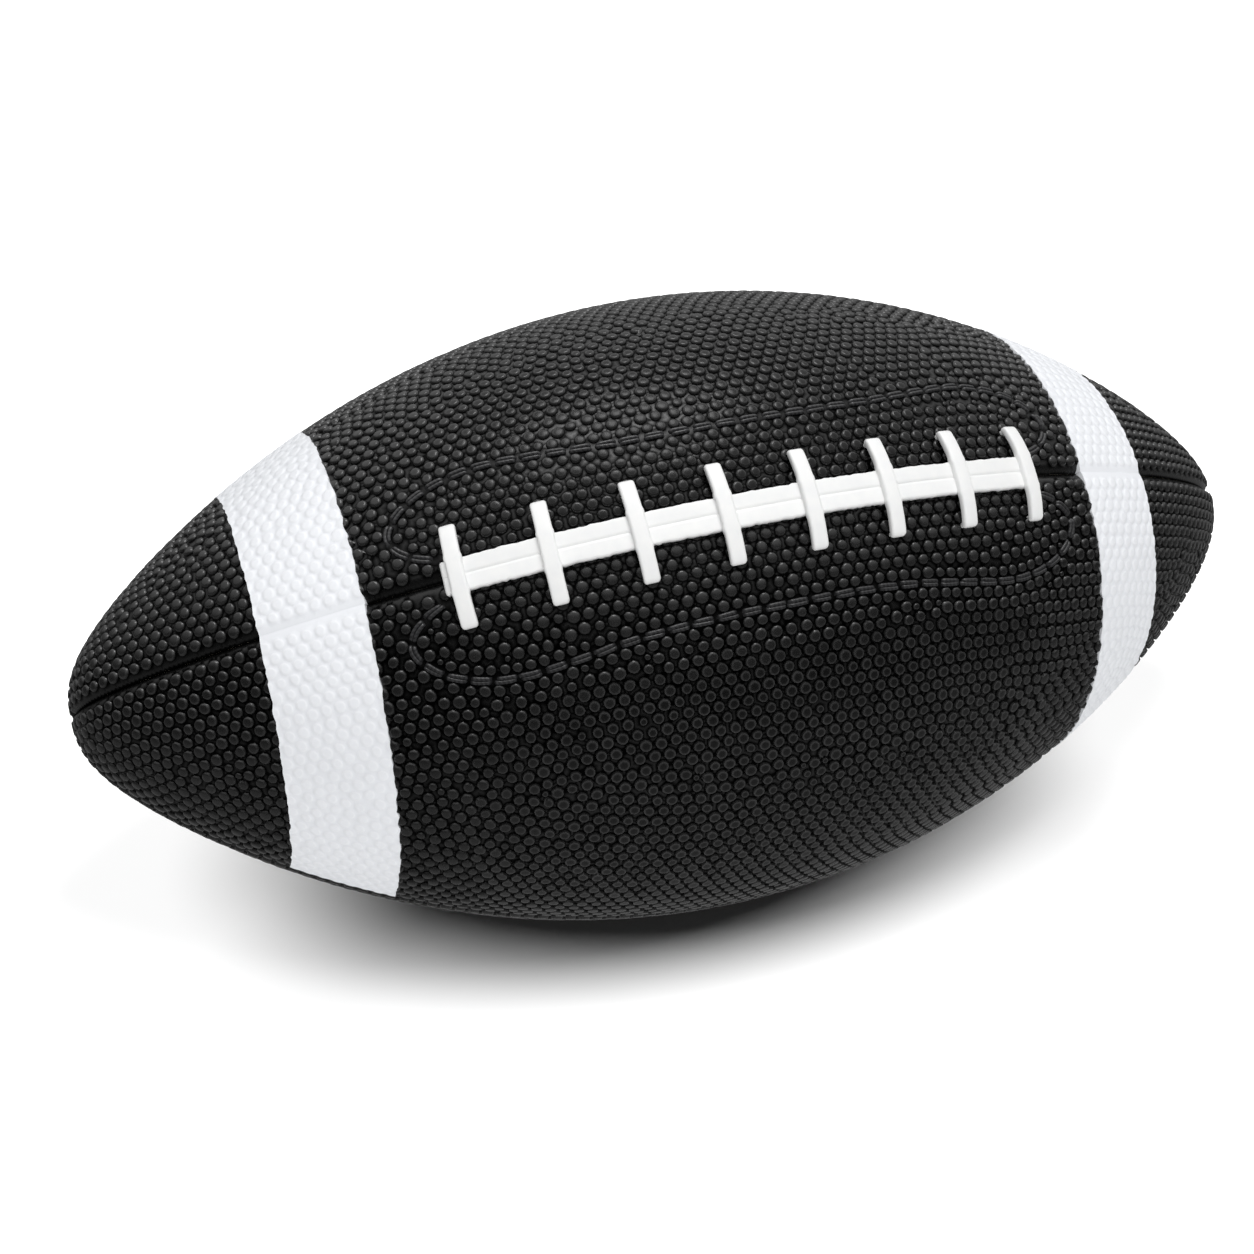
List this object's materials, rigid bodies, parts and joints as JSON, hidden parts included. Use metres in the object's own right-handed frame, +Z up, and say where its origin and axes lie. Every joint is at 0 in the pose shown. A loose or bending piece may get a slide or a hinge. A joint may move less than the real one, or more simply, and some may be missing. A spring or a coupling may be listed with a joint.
{
  "type": "american football",
  "caption": "Prolate laced ball of black pebbled rubber panels with white end stripes and raised white lacing, over a thread-wound carcass and an air bladder with an inflation valve.",
  "frame": {"origin": "middle of the flat rest patch under the ball, on the surface it lies on", "axes": "+X along the ball's long axis, +Z up, and the laces lean 42 degrees from the top towards -Y, the front"},
  "size_m": [0.28, 0.1416, 0.1413],
  "materials": {
    "cover_rubber": "moulded pebbled black rubber, satin",
    "stripe_rubber": "moulded pebbled white rubber, satin",
    "lace_vinyl": "smooth moulded white vinyl",
    "bladder_butyl": "smooth moulded butyl rubber",
    "valve_rubber": "smooth moulded rubber",
    "winding_thread": "wound nylon thread",
    "backing_canvas": "rubberised canvas"
  },
  "bodies": {
    "root": {"bladder": "bladder_butyl", "winding": "winding_thread", "valve_body": "valve_rubber", "valve_plug": "valve_rubber", "lacing_panel_front": "cover_rubber", "lacing_panel_rear": "cover_rubber", "plain_panel_front": "cover_rubber", "plain_panel_rear": "cover_rubber", "stripe_left_front": "stripe_rubber", "stripe_left_rear": "stripe_rubber", "stripe_right_front": "stripe_rubber", "stripe_right_rear": "stripe_rubber", "lace_backing": "backing_canvas", "lace_spine": "lace_vinyl", "cross_lace_1": "lace_vinyl", "cross_lace_2": "lace_vinyl", "cross_lace_3": "lace_vinyl", "cross_lace_4": "lace_vinyl", "cross_lace_5": "lace_vinyl", "cross_lace_6": "lace_vinyl", "cross_lace_7": "lace_vinyl", "cross_lace_8": "lace_vinyl"}
  },
  "joints": []
}
